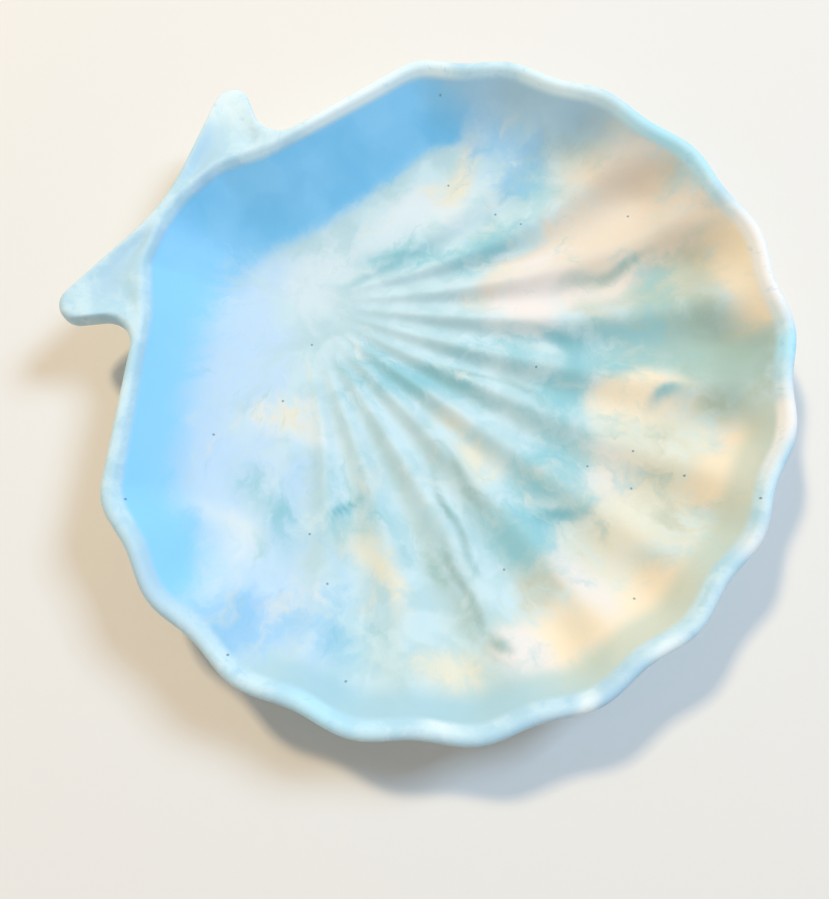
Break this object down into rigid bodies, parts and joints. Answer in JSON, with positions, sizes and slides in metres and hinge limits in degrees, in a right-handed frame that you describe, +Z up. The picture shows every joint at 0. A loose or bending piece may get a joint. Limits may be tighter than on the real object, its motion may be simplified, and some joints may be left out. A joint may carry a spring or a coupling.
{
  "type": "shell trinket dish",
  "caption": "Shallow scallop-shell dish cast in one piece, with a fluted bowl, a scalloped rounded lip and two flat ears at the hinge.",
  "frame": {"origin": "centre of the dish's bounding box seen from above, on the underside of its foot", "axes": "+Z up out of the bowl, +Y from the hinge with the two ears towards the middle of the fan, +X to the right"},
  "size_m": [0.1248, 0.1212, 0.017],
  "materials": {
    "cast_stone": "satin, marbled pale blue, aqua, cream and peach"
  },
  "bodies": {
    "root": {"shell_dish": "cast_stone"}
  },
  "joints": []
}
